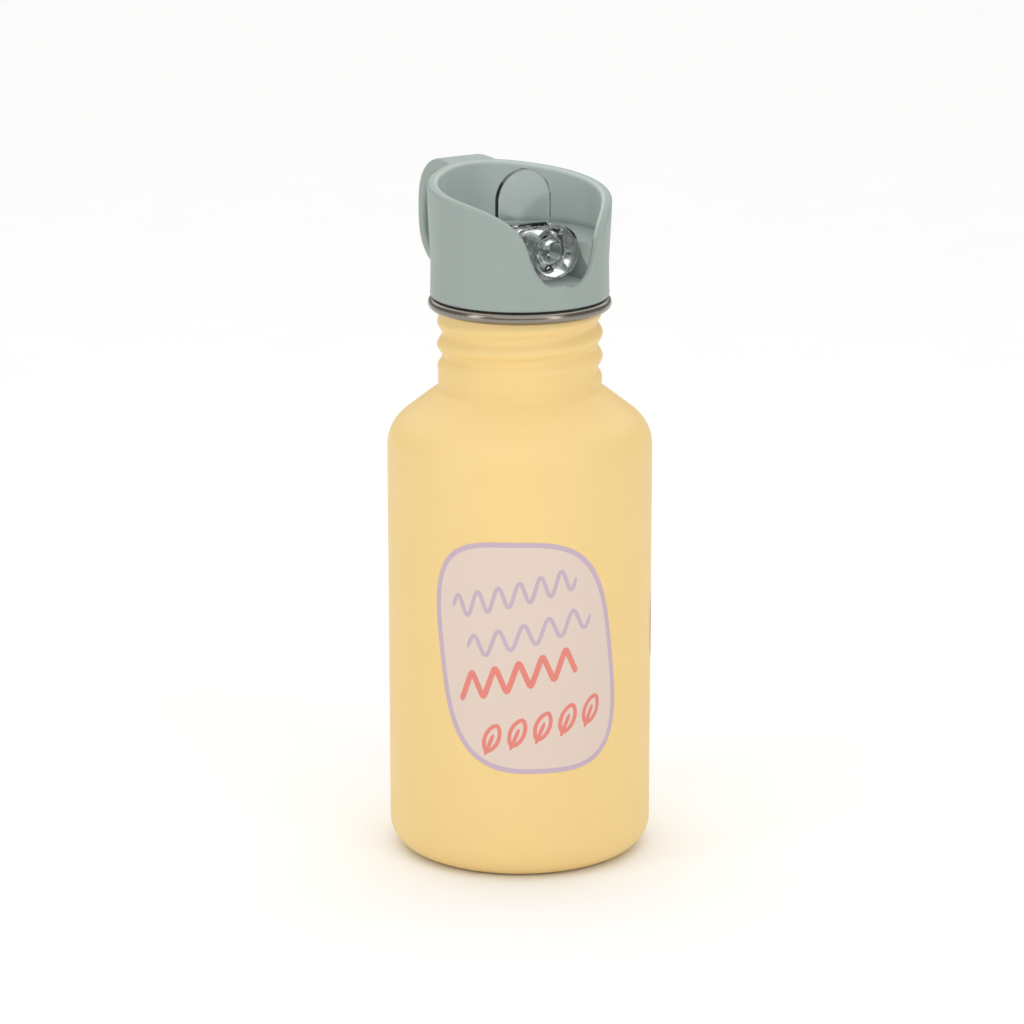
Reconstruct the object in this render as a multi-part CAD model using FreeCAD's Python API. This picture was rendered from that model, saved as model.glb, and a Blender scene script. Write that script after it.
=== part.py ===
"""Kids' straw bottle: steel bottle with a screw-on lid, flip-up spout and drinking straw.

Millimetres, +Z up.  The origin is the centre of the base, in the plane it rests on, and the
bottle's axis is Z.  The spout and the notch face -Y, the carry loop is at +Y.
"""
import FreeCAD, Part
import math
import os

# --- bottle ---------------------------------------------------------------------------------
BODY_R = 35.0            # outside radius of the body
SHEET = 0.6              # thickness of the drawn steel
BASE_CORNER_R = 7.6      # outside radius of the bottom corner
BASE_JOIN_Z = 8.2        # butt weld between base cup and body
REST_RING_R = 25.6       # inner edge of the ring the bottle stands on
RECESS_R = 21.5          # flat of the raised centre of the base
RECESS_H = 2.6
SHOULDER_Z = 115.4       # where body line and shoulder cone would meet
SHOULDER_R = 10.7
NECK_R = 21.5            # outside radius of the neck
NECK_FOOT_Z = 125.9
NECK_TOP_Z = 146.6
LIP_TOP_Z = 150.0
LIP_R = 24.1             # widest radius of the rolled lip
LIP_LOW_Z = 147.0        # underside of the roll

# --- rolled thread of the neck and moulded thread of the plug -----------------------------------
PITCH = 6.1
THREAD_START_Z = 131.3   # centre of the rolled groove where it begins
THREAD_START_DEG = -30.3
THREAD_TURNS = 2.0
ROLLER_R = 2.6           # radius of the roller that formed the groove
GROOVE_DEPTH = 1.0
PLUG_CORE_R = 19.3
PLUG_CREST_R = 20.55
PLUG_THREAD_TURNS = 1.1
PLUG_THREAD_RISE = 4.6   # start of the plug's thread above the start of the groove
RIDGE_CREST_HALF = 0.6
RIDGE_ROOT_HALF = 1.7
PLUG_BOTTOM_Z = 133.0
PLUG_WALL = 2.0

# --- lid --------------------------------------------------------------------------------------
LID_BOTTOM_Z = 150.3
LID_OUTER = [(23.5, 150.3), (23.3, 160.0), (23.9, 171.0), (24.4, 186.0)]
SOCKET_R = 22.5          # recess that takes the plug's flange
SOCKET_TOP_Z = 154.0
CAVITY_R = 20.6          # inside of the lid below the deck
CUP_R_DECK = 20.9        # inside of the shroud at the deck
CUP_R_TOP = 21.5         # inside of the shroud at the top of the blank
BLANK_TOP_Z = 186.0
DECK_Z = 166.1
DECK_T = 2.0
TROUGH_HALF = 7.95
TROUGH_BACK_Y = 6.3
TROUGH_FLOOR_Z = 156.5
TROUGH_WALL = 1.8
TAB_REST_Z = 164.9       # recess in the deck for the opened thumb tab
TAB_REST_HALF = 8.7
TAB_REST_Y = 3.3
RIM_EDGE_R = 1.1
# height of the shroud's rim by angle from the notch, one side, and its fall outwards per millimetre
RIM = [(0, 156.3, 0.28), (12, 156.5, 0.28), (20, 159.0, 0.2), (25, 162.7, 0.1), (28.5, 167.0, 0.05),
       (33, 170.9, 0), (42, 174.3, 0), (60, 177.0, 0), (75, 178.0, 0), (90, 178.9, 0), (120, 180.5, 0),
       (140, 181.4, 0), (158, 182.2, 0), (180, 182.6, 0)]
RIM_MID_R = 22.2

# --- carry loop, side view as (y, z), plan as (half width, y) ------------------------------------
LOOP_OUTER = [(20.0, 181.8), (24.0, 182.6), (28.5, 182.8), (32.5, 182.0), (36.2, 179.8), (38.8, 176.2),
              (39.9, 171.5), (40.0, 166.5), (39.4, 161.5), (37.8, 157.9), (34.6, 154.8), (30.2, 153.1),
              (26.0, 152.4), (20.0, 152.0)]
LOOP_INNER = [(20.0, 179.2), (24.5, 180.0), (28.4, 179.9), (32.0, 178.3), (35.3, 174.8), (36.7, 170.0),
              (36.9, 165.0), (36.1, 160.6), (33.6, 157.6), (30.2, 156.1), (26.0, 155.2), (20.0, 154.8)]
LOOP_PLAN = [(8.6, 20.0), (7.3, 24.6), (6.8, 30.5), (6.6, 36.0), (6.6, 42.0)]
LOOP_EDGE_R = 0.9
LOOP_ROOT_R = 22.6       # the loop's roots end inside the lid wall
LOOP_BLEND_R = 1.5       # hollow blend of the lower root into the wall

# --- mouthpiece ----------------------------------------------------------------------------------
PIVOT_Z = 164.5
HUB_R = 4.5
HUB_HALF = 7.6
TRUNNION_R = 2.2
TRUNNION_END = 9.4
PIVOT_PLAY = 0.05
SPOUT_R = 6.2            # at the flared tip
SPOUT_TIP_Y = -22.0
SPOUT_BORE_R = 2.3
HUB_PORT_R = 2.2
EYE_R = 2.6              # dished mouth of the drinking hole
EYE_HOLE_R = 1.3
TAB_FRONT_Y = -2.5
TAB_T = 1.8
TAB_FOOT_HALF = 7.6
TAB_HALF = 8.3
TAB_WIDE_Z = 168.7
TAB_TOP_Z = 183.9

# --- seals, valve and straw ---------------------------------------------------------------------
FLANGE_R = 22.4
FLANGE_BOTTOM_Z = 152.0
PLUG_NECK_R = 20.0
GASKET_R = 22.2
GASKET_BOTTOM_Z = 150.15
SEAT_R = 3.8
SEAT_PORT_R = 2.1
VALVE_Y = -11.0
VALVE_R = 2.7
VALVE_STEM_R = 1.0
SPIGOT_R = 3.6
SPIGOT_BOTTOM_Z = 141.0
SLEEVE_R = 4.9
SLEEVE_TOP_Z = 149.5
SLEEVE_BOTTOM_Z = 133.5
STRAW_R = 3.5
STRAW_WALL = 0.55
STRAW_BOTTOM_Z = 5.6


def vec(x, y, z):
    """A FreeCAD vector."""
    return FreeCAD.Vector(x, y, z)


def chain(points):
    """Open wire through (r, z) or (r, z, fillet) points in the XZ plane."""
    corners = [vec(p[0], 0, p[1]) for p in points]
    edges = []
    at = corners[0]
    for i in range(1, len(points) - 1):
        corner = corners[i]
        radius = points[i][2] if len(points[i]) > 2 else 0
        if not radius:
            edges.append(Part.makeLine(at, corner))
            at = corner
            continue
        back = (corners[i - 1] - corner).normalize()
        ahead = (corners[i + 1] - corner).normalize()
        half = back.getAngle(ahead) / 2
        start = corner + back * (radius / math.tan(half))
        end = corner + ahead * (radius / math.tan(half))
        inward = (back + ahead).normalize()
        middle = corner + inward * (radius / math.sin(half) - radius)
        if (start - at).Length > 1e-6:
            edges.append(Part.makeLine(at, start))
        edges.append(Part.Arc(start, middle, end).toShape())
        at = end
    edges.append(Part.makeLine(at, corners[-1]))
    return Part.Wire(edges)


def spun(face):
    """Solid of revolution of a face in the XZ plane about Z."""
    return face.revolve(vec(0, 0, 0), vec(0, 0, 1), 360)


def turned(points):
    """Solid of revolution from a closed (r, z[, fillet]) outline."""
    middle = tuple((points[0][i] + points[-1][i]) / 2 for i in (0, 1))
    wire = chain([middle] + list(points) + [middle])
    return spun(Part.Face(wire))


def pressed(points, thickness):
    """Revolved sheet along an open outline; the wall grows to the left of the way it is drawn."""
    return spun(chain(points).makeOffset2D(thickness, 0, True, True))


def tube(radius, bore, low, high):
    """Upright tube between two heights."""
    return turned([(bore, low), (radius, low), (radius, high), (bore, high)])


def rod(radius, low, high):
    """Upright rod between two heights."""
    return Part.makeCylinder(radius, high - low, vec(0, 0, low))


def block(low, high):
    """Box between two corners."""
    return Part.makeBox(*[high[i] - low[i] for i in range(3)], vec(*low))


def helix_point(radius, z_start, turns):
    """Point of the thread's helix after some turns."""
    angle = math.radians(THREAD_START_DEG + 360 * turns)
    return vec(radius * math.cos(angle), radius * math.sin(angle), z_start + PITCH * turns)


def helical(profile, radius, z_start, turns):
    """Solid swept by a wire, drawn at (radius, 0, 0) in the XZ plane, along the thread's helix."""
    path = Part.Wire(Part.makeHelix(PITCH, PITCH * turns, radius).Edges)
    solid = Part.Solid(path.makePipeShell([profile], True, True).Shells[0])
    solid.rotate(vec(0, 0, 0), vec(0, 0, 1), THREAD_START_DEG)
    solid.translate(vec(0, 0, z_start))
    return solid


def rolled_bead(bead_r):
    """Round helical bar with ball ends that forms the neck's thread."""
    radius = NECK_R - GROOVE_DEPTH + ROLLER_R
    circle = Part.Wire(Part.makeCircle(bead_r, vec(radius, 0, 0), vec(0, 1, 0)))
    bar = helical(circle, radius, THREAD_START_Z, THREAD_TURNS)
    ends = [Part.makeSphere(bead_r, helix_point(radius, THREAD_START_Z, t)) for t in (0, THREAD_TURNS)]
    return bar, ends


def bottle_shell():
    """Drawn body, shoulder and neck in one sheet, with the thread rolled into the neck."""
    shell = pressed([(BODY_R, BASE_JOIN_Z), (BODY_R, SHOULDER_Z, SHOULDER_R),
                     (NECK_R, NECK_FOOT_Z, 1.6), (NECK_R, NECK_TOP_Z)], SHEET)
    core = rod(NECK_R - SHEET / 2, NECK_FOOT_Z + 1, NECK_TOP_Z)
    ridge, ridge_ends = rolled_bead(ROLLER_R + SHEET)
    groove, groove_ends = rolled_bead(ROLLER_R)
    for piece in [ridge] + ridge_ends:
        shell = shell.fuse(piece.common(core))
    for piece in [groove] + groove_ends:
        shell = shell.cut(piece)
    return shell


def base_cup():
    """Pressed base with a raised centre, so that it stands on a ring."""
    return pressed([(0, RECESS_H), (RECESS_R, RECESS_H, 2.2), (REST_RING_R, 0, 1.6),
                    (BODY_R, 0, BASE_CORNER_R), (BODY_R, BASE_JOIN_Z)], SHEET)


def lip_ring():
    """Bare rolled lip: the sheet turns outward over the top and curls back to the neck."""
    inside = NECK_R - SHEET
    skin = [(inside, NECK_TOP_Z), (inside, LIP_TOP_Z, 1.4), (LIP_R, LIP_TOP_Z, 1.45),
            (LIP_R, LIP_LOW_Z, 1.45), (NECK_R + 0.2, LIP_LOW_Z)]
    hollow = [(NECK_R + 0.2, LIP_LOW_Z + SHEET), (LIP_R - SHEET, LIP_LOW_Z + SHEET, 0.85),
              (LIP_R - SHEET, LIP_TOP_Z - SHEET, 0.85), (NECK_R, LIP_TOP_Z - SHEET, 0.85),
              (NECK_R, NECK_TOP_Z)]
    return turned(skin + hollow)


def rim_cutter():
    """Everything above the shroud's swept rim."""
    stations = RIM + [(360 - a, z, fall) for a, z, fall in reversed(RIM[1:-1])]
    curves = []
    for radius in (12.0, 32.0):
        ring = [vec(radius * math.sin(math.radians(a)), -radius * math.cos(math.radians(a)),
                    z - fall * (radius - RIM_MID_R)) for a, z, fall in stations]
        spline = Part.BSplineCurve()
        spline.interpolate(Points=ring, PeriodicFlag=True)
        curves.append(spline.toShape())
    return Part.makeRuledSurface(curves[0], curves[1]).extrude(vec(0, 0, 60))


def spline_edge(points):
    """Smooth edge through points."""
    spline = Part.BSplineCurve()
    spline.interpolate(Points=points)
    return spline.toShape()


def loop_solid():
    """Strap-shaped carry loop, wide where it grows out of the lid."""
    outer = [vec(0, y, z) for y, z in LOOP_OUTER]
    inner = [vec(0, y, z) for y, z in LOOP_INNER]
    side = Part.Wire([spline_edge(outer), Part.makeLine(outer[-1], inner[-1]),
                      spline_edge(list(reversed(inner))), Part.makeLine(inner[0], outer[0])])
    reach = LOOP_PLAN[0][0] + 2
    strap = Part.Face(side).extrude(vec(2 * reach, 0, 0))
    strap.translate(vec(-reach, 0, 0))
    right = [vec(w, y, 140) for w, y in LOOP_PLAN]
    left = [vec(-p.x, p.y, p.z) for p in reversed(right)]
    plan = Part.Wire([spline_edge(right), Part.makeLine(right[-1], left[0]),
                      spline_edge(left), Part.makeLine(left[-1], right[0])])
    loop = strap.common(Part.Face(plan).extrude(vec(0, 0, 60)))
    long_edges = [e for e in loop.Edges if e.Length > 30]
    return loop.makeFillet(LOOP_EDGE_R, long_edges)


def trough_outline(grow, low, high):
    """Stadium-ended channel from behind the hub to the front, grown sideways and backwards."""
    half = TROUGH_HALF + grow
    back = TROUGH_BACK_Y + grow
    channel = block((-half, -30, low), (half, back, high))
    corners = [e for e in channel.Edges if e.BoundBox.ZLength > 0.99 * (high - low)
               and e.BoundBox.DiagonalLength < 1.01 * (high - low) and e.BoundBox.YMin > back - 0.01]
    return channel.makeFillet(2.0 + grow, corners)


def tab_rest():
    """Shallow recess behind the hub that the opened thumb tab lies in."""
    arch_y = PIVOT_Z - TAB_TOP_Z + TAB_HALF
    pocket = block((-TAB_REST_HALF, TAB_REST_Y, TAB_REST_Z), (TAB_REST_HALF, -arch_y, BLANK_TOP_Z))
    end = Part.makeCylinder(TAB_REST_HALF, BLANK_TOP_Z - TAB_REST_Z, vec(0, -arch_y, TAB_REST_Z))
    return pocket.fuse(end)


def shroud():
    """Outer wall of the lid with its rim swept down to the notch, edges rounded."""
    inner = [(SOCKET_R, LID_BOTTOM_Z), (SOCKET_R, SOCKET_TOP_Z), (CAVITY_R, SOCKET_TOP_Z),
             (CUP_R_DECK, DECK_Z), (CUP_R_TOP, BLANK_TOP_Z)]
    outer = [LID_OUTER[-1], LID_OUTER[-2] + (60,), LID_OUTER[-3] + (60,), LID_OUTER[0] + (0.6,)]
    wall = turned(inner + outer + [(SOCKET_R + 0.2, LID_BOTTOM_Z)]).cut(rim_cutter())
    edges = [e for e in wall.Edges if e.BoundBox.ZLength > 10 and e.BoundBox.YLength > 30]
    return wall.makeFillet(RIM_EDGE_R, edges)


def deck():
    """Deck with the spout trough and the rest for the opened tab, filling the shroud."""
    plate = rod(CUP_R_DECK + 0.4, DECK_Z - DECK_T, DECK_Z)
    channel = trough_outline(TROUGH_WALL, TROUGH_FLOOR_Z - TROUGH_WALL, DECK_Z)
    plate = plate.fuse(channel.common(rod(CUP_R_DECK + 0.4, SOCKET_TOP_Z, DECK_Z)))
    plate = plate.cut(trough_outline(0, TROUGH_FLOOR_Z, BLANK_TOP_Z))
    return plate.cut(tab_rest()).cut(rim_cutter())


def meets_lower_root(edge):
    """True for an edge between the outer wall and the lower root of the carry loop."""
    first, last = edge.FirstParameter, edge.LastParameter
    span = [edge.valueAt(first + (last - first) * t / 4) for t in range(5)]
    on_wall = all(23.2 < math.hypot(p.x, p.y) < 23.6 and p.y > 19 for p in span)
    return on_wall and edge.Length > 0.2 and all(151 < p.z < 158 for p in span)


def lid_shell():
    """Moulded lid: swept shroud, deck, spout trough and carry loop."""
    loop = loop_solid().cut(rod(LOOP_ROOT_R, 140, BLANK_TOP_Z))
    lid = shroud().fuse(deck()).fuse(loop).removeSplitter()
    lid = lid.makeFillet(LOOP_BLEND_R, [e for e in lid.Edges if meets_lower_root(e)])
    for hole in lid_holes():
        lid = lid.cut(hole)
    return lid


def lid_holes():
    """Trunnion bores, drinking port and valve hole of the lid."""
    bore = Part.makeCylinder(TRUNNION_R + PIVOT_PLAY, 2 * (TROUGH_HALF + TROUGH_WALL) + 1,
                             vec(-TROUGH_HALF - TROUGH_WALL - 0.5, 0, PIVOT_Z), vec(1, 0, 0))
    port = rod(SEAT_PORT_R, SOCKET_TOP_Z - 1, TROUGH_FLOOR_Z + 1)
    vent = rod(VALVE_STEM_R + 0.05, SOCKET_TOP_Z - 1, TROUGH_FLOOR_Z + 1)
    vent.translate(vec(0, VALVE_Y, 0))
    return [bore, port, vent]


def threaded_plug():
    """Moulded plug under the lid: flange, skirt with male thread, and straw spigot."""
    inner = PLUG_CORE_R - PLUG_WALL
    plug = turned([(SEAT_PORT_R, FLANGE_BOTTOM_Z), (inner, FLANGE_BOTTOM_Z, 1.0), (inner, PLUG_BOTTOM_Z),
                   (PLUG_CORE_R, PLUG_BOTTOM_Z, 0.8), (PLUG_CORE_R, 146.5), (PLUG_NECK_R, 148.0),
                   (PLUG_NECK_R, FLANGE_BOTTOM_Z), (FLANGE_R, FLANGE_BOTTOM_Z), (FLANGE_R, SOCKET_TOP_Z),
                   (SEAT_PORT_R, SOCKET_TOP_Z)])
    boss = tube(6.0, SEAT_PORT_R, SOCKET_TOP_Z - 0.5, TROUGH_FLOOR_Z - TROUGH_WALL)
    spigot = tube(SPIGOT_R, SEAT_PORT_R, SPIGOT_BOTTOM_Z, FLANGE_BOTTOM_Z + 0.5)
    plug = plug.fuse(boss).fuse(spigot)
    root = PLUG_CORE_R - 0.4
    corners = [(root, -RIDGE_ROOT_HALF), (PLUG_CREST_R, -RIDGE_CREST_HALF), (PLUG_CREST_R, RIDGE_CREST_HALF),
               (root, RIDGE_ROOT_HALF), (root, -RIDGE_ROOT_HALF)]
    section = Part.makePolygon([vec(r, 0, z) for r, z in corners])
    ridge = helical(section, PLUG_CORE_R, THREAD_START_Z + PITCH / 2, PLUG_THREAD_TURNS)
    turn = 360 * (PLUG_THREAD_RISE - PITCH / 2) / PITCH
    ridge.rotate(vec(0, 0, 0), vec(0, 0, 1), turn)
    ridge.translate(vec(0, 0, PLUG_THREAD_RISE - PITCH / 2))
    plug = plug.fuse(ridge)
    vent = rod(1.6, FLANGE_BOTTOM_Z - 1, SOCKET_TOP_Z + 1)
    vent.translate(vec(0, VALVE_Y, 0))
    return plug.cut(vent)


def lid_gasket():
    """Silicone ring that the lid presses on the lip."""
    return turned([(PLUG_NECK_R + 0.05, FLANGE_BOTTOM_Z), (PLUG_NECK_R + 0.05, GASKET_BOTTOM_Z, 0.3),
                   (GASKET_R, GASKET_BOTTOM_Z, 0.5), (GASKET_R, FLANGE_BOTTOM_Z)])


def spout_body():
    """Round spout that flares to a rounded tip, lying forward along -Y, and its bore."""
    length = -SPOUT_TIP_Y
    body = turned([(0, 0), (HUB_R - 0.1, 0), (HUB_R - 0.1, 7.0, 12), (SPOUT_R, 17.5, 8),
                   (SPOUT_R, length, 3.4), (0, length)])
    bore = turned([(0, -8), (HUB_PORT_R, -8), (HUB_PORT_R, 5.0), (SPOUT_BORE_R, 8.0),
                   (SPOUT_BORE_R, length - 4.4, 0.9), (EYE_HOLE_R, length - 3.2), (EYE_HOLE_R, length - 1.8),
                   (EYE_R, length), (EYE_R, length + 1), (0, length + 1)])
    for solid in (body, bore):
        solid.rotate(vec(0, 0, 0), vec(1, 0, 0), 90)
        solid.translate(vec(0, 0, PIVOT_Z))
    return body, bore


def thumb_tab():
    """Arched tab that stands up from the hub."""
    arch_z = TAB_TOP_Z - TAB_HALF
    side = [(TAB_FOOT_HALF, PIVOT_Z), (TAB_FOOT_HALF, TAB_WIDE_Z - 0.7), (TAB_HALF, TAB_WIDE_Z), (TAB_HALF, arch_z)]
    right = [vec(x, TAB_FRONT_Y, z) for x, z in side]
    left = [vec(-p.x, p.y, p.z) for p in reversed(right)]
    sides = [Part.makeLine(a, b) for side in (right, left) for a, b in zip(side, side[1:])]
    arch = Part.Arc(right[-1], vec(0, TAB_FRONT_Y, TAB_TOP_Z), left[0]).toShape()
    outline = Part.Wire(sides[:3] + [arch] + sides[3:] + [Part.makeLine(left[-1], right[0])])
    tab = Part.Face(outline).extrude(vec(0, TAB_T, 0))
    rims = [e for e in tab.Edges if e.BoundBox.ZMax > PIVOT_Z + 1 and e.BoundBox.YLength < 0.01]
    return tab.makeFillet(0.5, rims)


def mouthpiece():
    """Clear moulding: hub with trunnions, spout and thumb tab."""
    hub = Part.makeCylinder(HUB_R, 2 * HUB_HALF, vec(-HUB_HALF, 0, PIVOT_Z), vec(1, 0, 0))
    hub = hub.makeFillet(0.6, [e for e in hub.Edges if e.Length > 2 * HUB_HALF + 1])
    axle = Part.makeCylinder(TRUNNION_R, 2 * TRUNNION_END, vec(-TRUNNION_END, 0, PIVOT_Z), vec(1, 0, 0))
    body, bore = spout_body()
    return hub.fuse(axle).fuse(body).fuse(thumb_tab()).cut(bore)


def seat_seal():
    """Silicone seat that the hub rubs on; its port feeds the spout when that stands up."""
    seat = tube(SEAT_R, SEAT_PORT_R, TROUGH_FLOOR_Z, PIVOT_Z - 1)
    hub = Part.makeCylinder(HUB_R + 0.05, 40, vec(-20, 0, PIVOT_Z), vec(1, 0, 0))
    low = rod(SEAT_R + 1, TROUGH_FLOOR_Z, PIVOT_Z - HUB_R)
    return seat.common(low).cut(hub)


def vent_valve():
    """Umbrella valve that lets air in through the trough floor."""
    floor, under, cap = TROUGH_FLOOR_Z, TROUGH_FLOOR_Z - TROUGH_WALL, 0.9
    valve = turned([(0, under - 1.6), (0.9, under - 1.6, 0.3), (VALVE_STEM_R + 0.5, under), (VALVE_STEM_R, under),
                    (VALVE_STEM_R, floor), (VALVE_R, floor), (VALVE_R, floor + 0.3), (1.0, floor + cap, 2),
                    (0, floor + cap)])
    valve.translate(vec(0, VALVE_Y, 0))
    return valve


def straw_sleeve():
    """Silicone sleeve that grips the spigot and the straw."""
    return turned([(SPIGOT_R, SPIGOT_BOTTOM_Z), (SPIGOT_R, SLEEVE_TOP_Z), (SLEEVE_R, SLEEVE_TOP_Z, 0.6),
                   (SLEEVE_R, SLEEVE_BOTTOM_Z, 0.6), (STRAW_R, SLEEVE_BOTTOM_Z), (STRAW_R, SPIGOT_BOTTOM_Z)])


def straw():
    """Straight straw with a slanted lower end."""
    pipe = tube(STRAW_R, STRAW_R - STRAW_WALL, STRAW_BOTTOM_Z, SPIGOT_BOTTOM_Z - 0.4)
    slant = block((-20, -20, -20), (20, 20, 0))
    slant.rotate(vec(0, 0, 0), vec(1, 0, 0), 35)
    slant.translate(vec(0, 0, STRAW_BOTTOM_Z + STRAW_R * math.tan(math.radians(35))))
    return pipe.cut(slant)


NODES = [bottle_shell, base_cup, lip_ring, lid_shell, threaded_plug, lid_gasket, mouthpiece, seat_seal,
         vent_valve, straw_sleeve, straw]

os.makedirs("parts", exist_ok=True)
for make in NODES:
    shape = make()
    box = shape.optimalBoundingBox()
    print(f"{make.__name__}: valid {shape.isValid()}, solids {len(shape.Solids)}, "
          f"volume {shape.Volume:.0f} mm3, z {box.ZMin:.1f} to {box.ZMax:.1f}")
    shape.exportStep(f"parts/{make.__name__}.step")
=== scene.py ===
"""Looks of the kids' straw bottle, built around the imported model.

Lengths are in millimetres until a piece is finished, and a finished mesh is in metres.
The bottle stands on z = 0 with its axis on Z; the spout and the notch face -Y.
"""
from __future__ import annotations

import logging
import math
from dataclasses import dataclass, field
from enum import Enum
from typing import Callable

import bpy
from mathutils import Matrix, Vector


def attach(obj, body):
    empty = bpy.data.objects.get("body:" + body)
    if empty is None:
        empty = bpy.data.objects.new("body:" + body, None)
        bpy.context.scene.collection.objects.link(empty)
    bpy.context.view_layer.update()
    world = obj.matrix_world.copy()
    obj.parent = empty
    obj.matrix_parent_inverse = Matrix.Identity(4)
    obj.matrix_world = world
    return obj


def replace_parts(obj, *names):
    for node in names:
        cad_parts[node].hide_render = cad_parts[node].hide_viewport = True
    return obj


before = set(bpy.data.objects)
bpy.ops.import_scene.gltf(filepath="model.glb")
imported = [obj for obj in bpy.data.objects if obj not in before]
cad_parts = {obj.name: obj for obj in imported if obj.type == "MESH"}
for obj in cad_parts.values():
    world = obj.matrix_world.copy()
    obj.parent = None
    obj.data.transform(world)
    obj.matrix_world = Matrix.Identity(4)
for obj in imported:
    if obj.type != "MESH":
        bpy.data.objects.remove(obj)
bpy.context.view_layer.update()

LOG = logging.getLogger("bottle")
MM = 0.001
FULL_TURN = 2 * math.pi
MERGE_MM = 1e-4             # points closer than this are one point
ROUND_STEPS = 128           # steps of a full turn on the mouthpiece's round shapes
Outline = list[tuple[float, float]]


# --- small tools -------------------------------------------------------------------------------


def linear(code: str) -> tuple[float, float, float, float]:
    """Turns an sRGB hex colour into a linear one.

    Args:
        code: Six hex digits after a hash sign.

    Returns:
        Linear red, green and blue, and an alpha of 1.
    """
    shares = [int(code[i:i + 2], 16) / 255 for i in (1, 3, 5)]
    red, green, blue = (c / 12.92 if c <= 0.04045 else ((c + 0.055) / 1.055) ** 2.4 for c in shares)
    return red, green, blue, 1.0


def deselect() -> None:
    """Leaves every object unselected, and leaves edit mode."""
    if bpy.context.object and bpy.context.object.mode != "OBJECT":
        bpy.ops.object.mode_set(mode="OBJECT")
    bpy.ops.object.select_all(action="DESELECT")


def take(piece: bpy.types.Object) -> bpy.types.Object:
    """Makes one object the only selected and the active one.

    Args:
        piece: The object to work on.

    Returns:
        The same object.
    """
    deselect()
    piece.select_set(True)
    bpy.context.view_layer.objects.active = piece
    return piece


def edit(piece: bpy.types.Object) -> None:
    """Opens a piece in edit mode with all of it selected.

    Args:
        piece: The object to open.
    """
    take(piece)
    bpy.ops.object.mode_set(mode="EDIT")
    bpy.ops.mesh.select_all(action="SELECT")


def apply_modifier(piece: bpy.types.Object, kind: str, **settings: object) -> None:
    """Adds one modifier to a piece and applies it.

    Args:
        piece: The object to change.
        kind: The modifier's type, such as BEVEL.
        settings: The modifier's own values.
    """
    take(piece)
    modifier = piece.modifiers.new(kind.lower(), kind)
    for name, value in settings.items():
        setattr(modifier, name, value)
    bpy.ops.object.modifier_apply(modifier=modifier.name)


def join(pieces: list[bpy.types.Object]) -> bpy.types.Object:
    """Joins objects into the first of them.

    Args:
        pieces: The objects; the first one stays.

    Returns:
        The joined object.
    """
    take(pieces[0])
    for piece in pieces[1:]:
        piece.select_set(True)
    bpy.ops.object.join()
    return pieces[0]


def reshape(piece: bpy.types.Object, move: Callable[[Vector], Vector]) -> None:
    """Moves every vertex of a piece by a rule.

    Args:
        piece: The object whose mesh changes.
        move: Gives a vertex's new place from its old one.
    """
    for vertex in piece.data.vertices:
        vertex.co = move(vertex.co)
    piece.data.update()


def finish_piece(piece: bpy.types.Object, name: str, body: str,
                 smooth_deg: float = 35) -> bpy.types.Object:
    """Names a piece, turns its millimetres into metres and hands it to its body.

    Args:
        piece: The object, at the origin, with its place in its mesh.
        name: The piece's name.
        body: The body that carries it.
        smooth_deg: Edges sharper than this angle stay sharp.

    Returns:
        The finished piece.
    """
    take(piece)
    bpy.ops.object.transform_apply(location=True, rotation=True, scale=True)
    reshape(piece, lambda co: co * MM)
    bpy.ops.object.shade_smooth_by_angle(angle=math.radians(smooth_deg))
    piece.name = piece.data.name = name
    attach(piece, body)
    LOG.info("%s: %d faces, on %s", name, len(piece.data.polygons), body)
    return piece


def spun(outline: Outline, steps: int) -> bpy.types.Object:
    """Extrudes a chain of vertices along an outline and spins it about Z.

    Args:
        outline: Radius and height of each point, in millimetres.
        steps: Number of steps of the full turn.

    Returns:
        The spun mesh, with its doubles merged and its faces outwards.
    """
    deselect()
    bpy.ops.mesh.primitive_plane_add(size=1, location=(0, 0, 0))
    piece = bpy.context.object
    bpy.ops.object.mode_set(mode="EDIT")
    bpy.ops.mesh.merge(type="CENTER")
    bpy.ops.transform.translate(value=(outline[0][0], 0, outline[0][1]))
    for (r0, z0), (r1, z1) in zip(outline, outline[1:]):
        bpy.ops.mesh.extrude_vertices_move(TRANSFORM_OT_translate={"value": (r1 - r0, 0, z1 - z0)})
    bpy.ops.mesh.select_all(action="SELECT")
    bpy.ops.mesh.spin(steps=steps, angle=FULL_TURN, center=(0, 0, 0), axis=(0, 0, 1))
    bpy.ops.mesh.select_all(action="SELECT")
    bpy.ops.mesh.remove_doubles(threshold=MERGE_MM)
    bpy.ops.mesh.normals_make_consistent(inside=False)
    bpy.ops.object.mode_set(mode="OBJECT")
    return piece


def rounded(points: list[tuple[float, float, float]], per_turn: int) -> Outline:
    """Rounds the corners of an open outline with tangent arcs.

    Args:
        points: Radius, height and corner radius of each point; 0 keeps a corner sharp.
        per_turn: Points that a full circle would get.

    Returns:
        The outline with its arcs worked out.
    """
    flat = [Vector((r, z)) for r, z, _ in points]
    result = [tuple(flat[0])]
    for before, corner, after, (_, _, radius) in zip(flat, flat[1:], flat[2:], points[1:]):
        if radius == 0:
            result.append(tuple(corner))
            continue
        back, ahead = (before - corner).normalized(), (after - corner).normalized()
        half = back.angle(ahead) / 2
        centre = corner + (back + ahead).normalized() * (radius / math.sin(half))
        start = corner + back * (radius / math.tan(half)) - centre
        turn = math.pi - 2 * half
        turn *= 1 if start.cross(ahead) > 0 else -1
        count = max(2, round(abs(turn) / FULL_TURN * per_turn))
        for i in range(count + 1):
            c, s = math.cos(turn * i / count), math.sin(turn * i / count)
            result.append((centre.x + start.x * c - start.y * s, centre.y + start.x * s + start.y * c))
    result.append(tuple(flat[-1]))
    return result


# --- finishes ----------------------------------------------------------------------------------


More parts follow.
